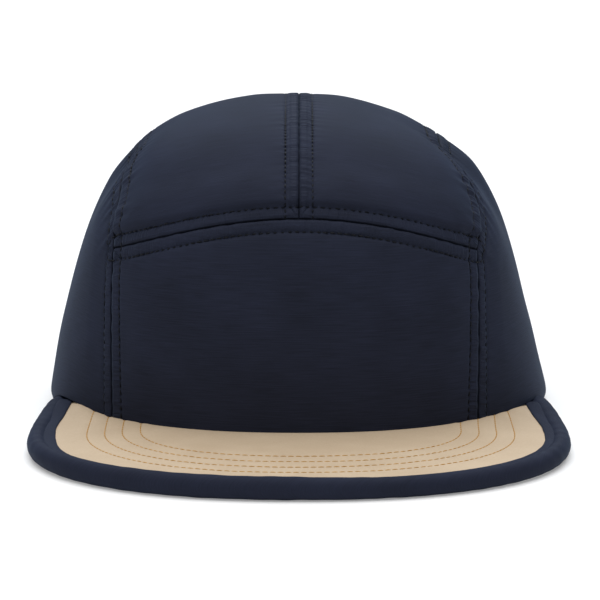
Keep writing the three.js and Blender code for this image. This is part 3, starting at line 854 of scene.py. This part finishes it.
# Brushed polyester twill with a smooth face, dyed tan. Very fine, even grain, nearly matt.
def smooth_tan_cloth(name, dark, light):
    material, tree, cloth = new_material(name)
    place = add_node(tree, "ShaderNodeTexCoord")
    grain = add_node(
        tree, "ShaderNodeTexNoise", links={"Vector": place.outputs["Object"]},
        Scale=1500, Detail=3, Roughness=0.6,
    )
    clouds = add_node(
        tree, "ShaderNodeTexNoise", links={"Vector": place.outputs["Object"]}, Scale=60, Detail=3
    )
    both = add_node(
        tree, "ShaderNodeMath", {"operation": "MULTIPLY_ADD"}, links={0: grain, 1: 0.8, 2: clouds}
    )
    share = add_node(
        tree, "ShaderNodeMapRange", links={"Value": both}, From_Min=0.55, From_Max=1.25
    )
    colour = add_node(
        tree, "ShaderNodeMix", {"data_type": "RGBA"},
        links={"Factor": share}, A=tone(dark), B=tone(light),
    )
    bump = add_node(
        tree, "ShaderNodeBump", links={"Height": grain}, Strength=0.35, Distance=0.05 * mm
    )
    fill_inputs(
        tree, cloth, {"Base Color": colour.outputs["Result"], "Normal": bump},
        Roughness=0.72, IOR=1.5, Specular_IOR_Level=0.3,
    )
    return material


cover.data.materials.append(smooth_tan_cloth("tan_brushed_twill", "#b49f85", "#c1ad93"))
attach(cover, "root")
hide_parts("peak_cover")


def laid_on(piece, plan, downwards):
    """A plan line laid on a piece from above or from below, with the way out along it."""
    tree = BVHTree.FromObject(piece, bpy.context.evaluated_depsgraph_get())
    path, way_out = [], []
    fall = Vector((0, 0, -1 if downwards else 1))
    for x, y in plan:
        place = tree.ray_cast(Vector((x, y, 0)) - fall * 50 * mm, fall)[0]
        if place is not None:
            path.append(place[:])
            way_out.append((-fall)[:])
    return np.array(path), np.array(way_out)


golden_thread = polyester_thread("golden_polyester_thread", "#b58843", 0.5)
thread_piece(
    "peak_stitching", [laid_on(cover, plan, True) for plan in peak_plans],
    golden_thread, "tan_cloth",
    pitch=2.4 * mm, length=2.15 * mm, thickness=0.4 * mm, raised=0.05 * mm,
)


# Peak board
# A stiff plastic board inside a lower cover of the same navy taffeta, seen from underneath
# with the same four rows of stitches.

BOARD_THICKNESS = 2.6 * mm

board_rows = cad_rows(
    "peak_board", (-77.1, -7.8, 1.2), (76.8, -7.6, 1.2), (-78.3, -8.1, 1.2),
    lambda place: Vector((0, 0, -1)),
)
board_points = fine_surface(board_rows, 0.9 * mm)
board_down = grid_normals(board_points, np.array([0, 0, -1]))
under_away = plan_distance(board_points, peak_plans)
board_relief = -0.16 * mm * hump(under_away, 0.8 * mm)
board_points = board_points + board_down * board_relief[..., None]
board = cloth_piece("peak_under_cover", board_points, board_down, BOARD_THICKNESS)
board.data.materials.append(taffeta)
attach(board, "root")
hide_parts("peak_board")
thread_piece(
    "peak_under_stitching", [laid_on(board, plan, False) for plan in peak_plans],
    navy_thread, "navy_cloth",
    pitch=2.4 * mm, length=2 * mm, thickness=0.4 * mm, raised=0.04 * mm,
)


# Peak roll
# A foam cord wrapped in navy taffeta and sewn round the peak's edge. The taffeta's two flat
# allowances grip the peak, one over the tan cover and one under the board.

# The peak's outline seen from above, and the roll and its allowances, in millimetres.
PEAK_HALF_WIDTH = 88.5
PEAK_FRONT = -132.26
PEAK_BACK = 8.34
PEAK_END_TUCK = 5.5
PEAK_SQUARENESS = 2.22
ROLL_RADIUS = 3.4
ROLL_END_RADIUS = 2.2
COVER_HEIGHT = 5.37            # top of the cover at the roll
BOARD_FOOT = 1.22              # underside of the board at the roll
LIP_BACK = -2                  # where the flat allowances end, under the crown
LIP_INSET = 2 * ROLL_RADIUS - 2.17
SEWN_REACH = 1 * mm            # how close to its inner line the roll is held
MOST_PUFFED = 0.25 * mm


def peak_edge(count):
    """Even points of the peak's outline and the way inwards at each, seen from above."""
    turn = np.linspace(math.pi, 0, 1200)
    power = 2 / PEAK_SQUARENESS
    x = PEAK_HALF_WIDTH * np.sign(np.cos(turn)) * np.abs(np.cos(turn)) ** power
    y = PEAK_WIDEST_AT - (PEAK_WIDEST_AT - PEAK_FRONT) * np.sin(turn) ** power
    back = np.linspace(0, 1, 200)[1:]
    side_x = PEAK_HALF_WIDTH - PEAK_END_TUCK * back ** 2
    side_y = PEAK_WIDEST_AT + (PEAK_BACK - PEAK_WIDEST_AT) * back
    x = np.concatenate([-side_x[::-1], x, side_x])
    y = np.concatenate([side_y[::-1], y, side_y])
    outline = np.stack([x, y], axis=1)
    run = run_of(outline)
    even = np.linspace(0, run[-1], count)
    edge = read_line(even, run, outline)
    ahead = np.gradient(edge, axis=0)
    ahead /= np.linalg.norm(ahead, axis=1)[:, None]
    return edge, np.stack([-ahead[:, 1], ahead[:, 0]], axis=1), even


def tube_piece(name, rings):
    """A closed tube through rings of points, with both ends drawn in to a pole."""
    ends = [ring.mean(axis=0)[None].repeat(len(ring), 0) for ring in (rings[0], rings[-1])]
    points = np.concatenate([ends[0][None], rings, ends[1][None]])
    points = np.concatenate([points, points[:, :1]], axis=1) * mm
    middle = points[:, :-1].mean(axis=1)[:, None]
    piece = cloth_piece(name, points, points - middle)
    bpy.ops.object.mode_set(mode="EDIT")
    bpy.ops.mesh.select_all(action="SELECT")
    bpy.ops.mesh.remove_doubles(threshold=0.001 * mm)
    bpy.ops.mesh.normals_make_consistent(inside=False)
    bpy.ops.object.mode_set(mode="OBJECT")
    return piece


edge, inwards, edge_run = peak_edge(460)
radius = ROLL_END_RADIUS + (ROLL_RADIUS - ROLL_END_RADIUS) * smoothstep(
    CROWN_WIDEST_AT - edge[:, 1], 19, 36
)
# The roll is wider beside the crown than in front, and fatter in front on the left and by its
# ends, as the photograph shows it.
widening = 1.4 * smoothstep(edge[:, 1], -50, -15)
puffed = 0.75 * smoothstep(-edge[:, 1], 62, 100) * (1 - smoothstep(edge[:, 0], -10, 35))
puffed += 0.9 * smoothstep(edge[:, 1], -32, -8)
angles = np.linspace(0, 2 * math.pi, 29)[:-1]
crease = 0.05 * ripple(edge_run[:, None] + 2.5 * np.sin(angles)[None], 7, 410)
crease += 0.04 * ripple(edge_run[:, None] - 4 * np.cos(angles)[None], 17, 411)
fat = radius[:, None] * 0.975 + crease
from_edge = radius[:, None] + fat * np.cos(angles)
from_edge *= 1 + (widening / radius)[:, None] / 2
above_floor = radius[:, None] + fat * np.sin(angles)
above_floor *= 1 + (puffed / radius)[:, None] / 2
roll_rings = np.stack([
    edge[:, :1] + inwards[:, :1] * from_edge, edge[:, 1:] + inwards[:, 1:] * from_edge, above_floor
], axis=2)
roll = tube_piece("peak_roll_padding", roll_rings)


def puff(piece, pinned, most, frames=20, pressure=4):
    """Fills a closed piece of cloth with air, held where it is sewn, and keeps its new shape."""
    before = np.array([vertex.co[:] for vertex in piece.data.vertices])
    group = piece.vertex_groups.new(name="sewn")
    group.add([i for i, place in enumerate(before) if pinned(place)], 1, "REPLACE")
    cloth = piece.modifiers.new("cloth", "CLOTH")
    cloth.settings.quality = 4
    cloth.settings.mass = 0.15
    cloth.settings.tension_stiffness = cloth.settings.compression_stiffness = 20
    cloth.settings.shear_stiffness = 8
    cloth.settings.bending_stiffness = 0.4
    cloth.settings.use_pressure = True
    cloth.settings.uniform_pressure_force = pressure
    cloth.settings.vertex_group_mass = "sewn"
    cloth.settings.effector_weights.gravity = 0
    cloth.collision_settings.use_collision = False
    cloth.point_cache.frame_start, cloth.point_cache.frame_end = 1, frames
    for moment in range(1, frames + 1):
        bpy.context.scene.frame_set(moment)
    pick_only(piece)
    bpy.ops.object.modifier_apply(modifier="cloth")
    bpy.context.scene.frame_set(1)
    after = np.array([vertex.co[:] for vertex in piece.data.vertices])
    moved = after - before
    far = np.linalg.norm(moved, axis=1)
    moved *= (np.minimum(far, most) / np.maximum(far, 1e-9))[:, None]
    after = before + moved
    after[:, 2] = np.maximum(after[:, 2], FLOOR_CLEARANCE)
    piece.data.vertices.foreach_set("co", after.reshape(-1).astype(np.float32))
    piece.vertex_groups.clear()
    piece.data.update()


inner_line = KDTree(len(edge))
for i, (place, way, deep, more) in enumerate(zip(edge, inwards, radius, widening)):
    inner_line.insert(Vector((*(place + way * (2 * deep + more)), deep)) * mm, i)
inner_line.balance()
puff(roll, lambda place: inner_line.find(place)[2] < SEWN_REACH, MOST_PUFFED)
roll.data.materials.append(taffeta)
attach(roll, "root")
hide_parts("peak_roll")


def lip_piece(name, foot, top, lies_on=None):
    """The flat allowance that runs inwards from the roll, between two heights."""
    lips_edge, lips_inwards, lips_run = peak_edge(420)
    keep = lips_edge[:, 1] < LIP_BACK
    lips_edge, lips_inwards, lips_run = lips_edge[keep], lips_inwards[keep], lips_run[keep]
    height, middle = (top - foot) / 2, (top + foot) / 2
    wave = 0.06 * ripple(lips_run, 9, 420)
    at_back = smoothstep(lips_edge[:, 1], -50, -15)
    outer = LIP_INSET + 0.6 * at_back
    wide = 1.6 + 0.43 * smoothstep(lips_edge[:, 1], -95, -50) + 0.4 * at_back
    wide += np.where(lips_edge[:, 0] < 0, 0.5, 0) * hump(lips_edge[:, 1] + 68, 18)
    # The lip follows the cover, and its lower side reaches down where the cover falls away.
    raised = np.zeros((2, len(lips_edge)))
    deeper = np.zeros(len(lips_edge))
    if lies_on:
        deeper = 1.8 * smoothstep(lips_edge[:, 1], -40, -12)
        tree = BVHTree.FromObject(lies_on, bpy.context.evaluated_depsgraph_get())
        for side, inset in ((1, outer + 2 * wide), (0, outer)):
            for i, (x, y) in enumerate(lips_edge + lips_inwards * inset[:, None]):
                place = tree.ray_cast(Vector((x, y, 50)) * mm, Vector((0, 0, -1)))[0]
                raised[side, i] = place.z / mm - COVER_HEIGHT if place else raised[1, i]
    rings = []
    for turn in np.linspace(0, 2 * math.pi, 17)[:-1]:
        side = np.sign(np.cos(turn)) * abs(np.cos(turn)) ** 0.6
        reach = outer + wide * (1 + side)
        rise = middle + height * np.sign(np.sin(turn)) * abs(np.sin(turn)) ** 0.7
        rise = rise + deeper * min(math.sin(turn), 0)
        rise += raised[0] + (raised[1] - raised[0]) * (1 + side) / 2
        inset = reach + wave * (1 + np.cos(turn)) / 2
        rings.append(np.stack([
            lips_edge[:, 0] + lips_inwards[:, 0] * inset,
            lips_edge[:, 1] + lips_inwards[:, 1] * inset,
            rise,
        ], axis=1))
    lip = tube_piece(name, np.array(rings).swapaxes(0, 1))
    lip.data.materials.append(taffeta)
    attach(lip, "root")


lip_piece("peak_roll_upper_lip", COVER_HEIGHT - 0.05, COVER_HEIGHT + 0.55, cover)
lip_piece("peak_roll_lower_lip", BOARD_FOOT - 0.6, BOARD_FOOT + 0.02)


# Back strap
# Polyester webbing, 20 mm wide, sewn down inside the crown at both ends. Its flat ribs run
# along it, and the edges are woven closed.

STRAP_WALL = 1.1 * mm
RIB_PITCH = 2.5 * mm

strap_rows = cad_rows(
    "back_strap", (51.2, 109.1, 5.9), (-51.2, 109.3, 6), (51.1, 106.3, 25.6),
    lambda place: Vector((0, 1, 0)),
)
strap_surface = fine_surface(strap_rows, 0.4 * mm)
strap_points = lay_lines(strap_surface, (260, 24), EDGE_STEPS[:8])
strap_out = grid_normals(strap_points, np.array([0, 1, 0]))
strap_up = lengths_along(strap_points, 0)
rib = 0.09 * mm * np.cos(2 * math.pi * strap_up / RIB_PITCH)
edge_close = np.minimum(strap_up, strap_up[-1:] - strap_up)
rib -= 0.35 * mm * np.clip(1 - edge_close / (0.9 * mm), 0, 1) ** 2
strap_points = strap_points + strap_out * rib[..., None]
strap = cloth_piece("back_strap_webbing", strap_points, strap_out, STRAP_WALL)


# Black polyester webbing in a plain weave: picks of yarn a millimetre wide that lie over and
# under each other, with a low gloss.
def woven_webbing(name, dark, light):
    material, tree, webbing = new_material(name)
    place = add_node(tree, "ShaderNodeUVMap", {"uv_map": "cloth"})
    scaled = add_node(
        tree, "ShaderNodeMapping", links={"Vector": place}, Scale=(1 / mm, 1 / (0.6 * mm), 1)
    )
    picks = add_node(
        tree, "ShaderNodeTexBrick", {"offset": 0.5}, links={"Vector": scaled},
        Scale=1, Mortar_Size=0.09, Mortar_Smooth=1, Brick_Width=1, Row_Height=1,
        Color1=tone(light), Color2=tone(dark),
        Mortar=[part * 0.4 for part in tone(dark)[:3]] + [1],
    )
    bump = add_node(
        tree, "ShaderNodeBump", {"invert": True}, links={"Height": picks.outputs["Fac"]},
        Strength=0.8, Distance=0.15 * mm,
    )
    fill_inputs(tree, webbing, {"Base Color": picks, "Normal": bump}, Roughness=0.6, IOR=1.5)
    return material


strap.data.materials.append(woven_webbing("black_polyester_webbing", "#15171c", "#22242b"))
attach(strap, "root")
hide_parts("back_strap")


# Strap slider
# A plain three-bar slider moulded in acetal and threaded on the strap. It is the solid's own
# shape with all of its edges rounded.

slider = bpy.data.objects.new("strap_slider_moulded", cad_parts["strap_slider"].data.copy())
bpy.context.collection.objects.link(slider)
pick_only(slider)
bpy.ops.object.mode_set(mode="EDIT")
bpy.ops.mesh.select_all(action="SELECT")
bpy.ops.mesh.remove_doubles(threshold=0.002 * mm)
bpy.ops.mesh.dissolve_limited(angle_limit=math.radians(2))
bpy.ops.object.mode_set(mode="OBJECT")
rounding = slider.modifiers.new("rounding", "BEVEL")
rounding.width = 0.45 * mm
rounding.segments = 3
rounding.angle_limit = math.radians(50)
bpy.ops.object.modifier_apply(modifier="rounding")
bpy.ops.object.shade_smooth_by_angle(angle=math.radians(40))


# Acetal, injection moulded in black: an even satin with a very fine spark-eroded grain.
def moulded_acetal(name, colour):
    material, tree, plastic = new_material(name)
    place = add_node(tree, "ShaderNodeTexCoord")
    grain = add_node(
        tree, "ShaderNodeTexNoise", links={"Vector": place.outputs["Object"]},
        Scale=2200, Detail=2,
    )
    gloss = add_node(tree, "ShaderNodeMapRange", links={"Value": grain}, To_Min=0.36, To_Max=0.52)
    bump = add_node(
        tree, "ShaderNodeBump", links={"Height": grain}, Strength=0.3, Distance=0.02 * mm
    )
    fill_inputs(
        tree, plastic, {"Roughness": gloss, "Normal": bump}, Base_Color=tone(colour), IOR=1.48
    )
    return material


slider.data.materials.clear()
slider.data.materials.append(moulded_acetal("black_moulded_acetal", "#17181b"))
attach(slider, "root")
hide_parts("strap_slider")


# Floor, light and camera
# A plain white studio sweep under one broad overhead light, as a catalogue picture is lit, with
# a bluish light from behind and a faint one from the left. The camera is fitted to the
# photograph's outline of the cap.

bpy.ops.object.select_all(action="DESELECT")
bpy.ops.mesh.primitive_plane_add(size=16)
floor = bpy.context.object
floor.name = "studio_floor"
paper, paper_tree, sweep = new_material("white_paper_sweep")
fill_inputs(
    paper_tree, sweep, {}, Base_Color=(0.66, 0.66, 0.66, 1), Roughness=0.9,
    Specular_IOR_Level=0.1, Emission_Color=(1, 1, 1, 1), Emission_Strength=0.27,
)
floor.data.materials.append(paper)

world = bpy.data.worlds.new("studio")
bpy.context.scene.world = world
world.use_nodes = True
sky = world.node_tree
sky.nodes["Background"].inputs["Color"].default_value = (0.92, 0.96, 1, 1)
sky.nodes["Background"].inputs["Strength"].default_value = 0.13


def studio_sun(name, tilt, turn, strength, spread, colour=(1, 1, 1)):
    """A soft light at infinity. tilt is from straight overhead, turn is from the front."""
    lamp = bpy.data.lights.new(name, "SUN")
    lamp.energy = strength
    lamp.color = colour
    lamp.angle = math.radians(spread)
    sun = bpy.data.objects.new(name, lamp)
    bpy.context.collection.objects.link(sun)
    sun.rotation_euler = (math.radians(tilt), 0, math.radians(turn))


studio_sun("overhead_softbox", 4, 180, 3.25, 75)
studio_sun("back_softbox", 52, 180, 1.15, 50, (0.78, 0.89, 1))
studio_sun("left_fill", 55, -60, 0.25, 60)

lens = bpy.data.cameras.new("camera")
lens.sensor_width = 36
lens.lens = 249.28
lens.shift_x = 0.0018
lens.shift_y = -0.0488
lens.clip_end = 30
camera = bpy.data.objects.new("camera", lens)
bpy.context.collection.objects.link(camera)
camera.location = (0, -1.3804, 0.2835)
aim = Vector((0, 0, 0.05)) - camera.location
camera.rotation_euler = aim.to_track_quat("-Z", "Y").to_euler()
bpy.context.scene.camera = camera
bpy.context.scene.view_settings.view_transform = "Standard"
